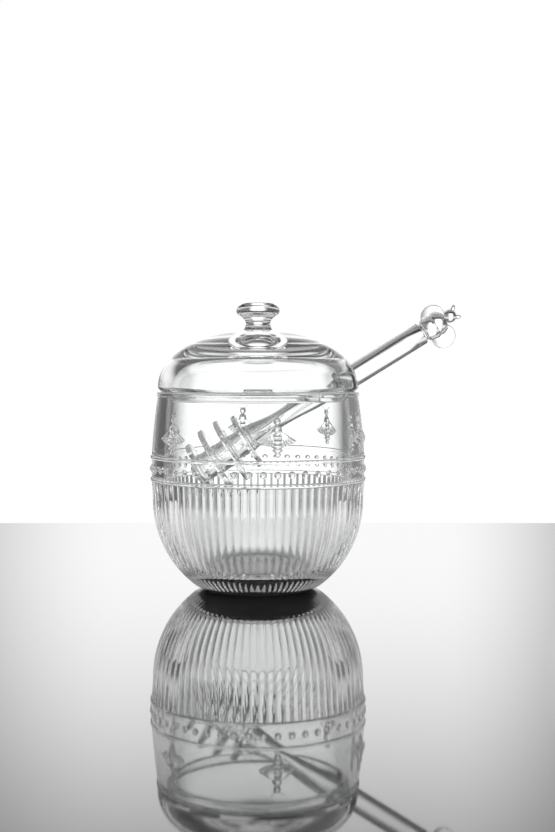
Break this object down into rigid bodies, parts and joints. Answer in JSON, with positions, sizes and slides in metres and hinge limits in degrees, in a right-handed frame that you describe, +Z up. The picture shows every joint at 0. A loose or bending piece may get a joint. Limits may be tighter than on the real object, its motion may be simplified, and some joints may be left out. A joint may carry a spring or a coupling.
{
  "type": "honey pot",
  "caption": "Clear pressed-glass honey pot with a reeded round bowl, a bead band, bee reliefs, a loose domed lid with a knob and a notch, and a glass dipper.",
  "frame": {"origin": "on the jar's axis, in the plane of the flat foot that it stands on", "axes": "+Z up along the jar's axis; +X towards the outer end of the dipper"},
  "size_m": [0.1524, 0.1054, 0.1393],
  "materials": {
    "jar_glass": "clear fire-polished pressed glass",
    "lid_glass": "clear fire-polished pressed glass",
    "dipper_glass": "clear flame-worked glass"
  },
  "bodies": {
    "pot": {"pot": "jar_glass"},
    "lid": {"lid": "lid_glass"},
    "dipper": {"dipper": "dipper_glass"}
  },
  "joints": [
    {"name": "lid_lift", "type": "slide", "parent": "pot", "child": "lid", "axis": [0, 0, 1], "range_m": [0, 0.1]},
    {"name": "dipper_twirl", "type": "hinge", "parent": "pot", "child": "dipper", "pos_m": [0, 0, 0.07466], "axis": [0.8499, 0, 0.527], "continuous": true}
  ]
}
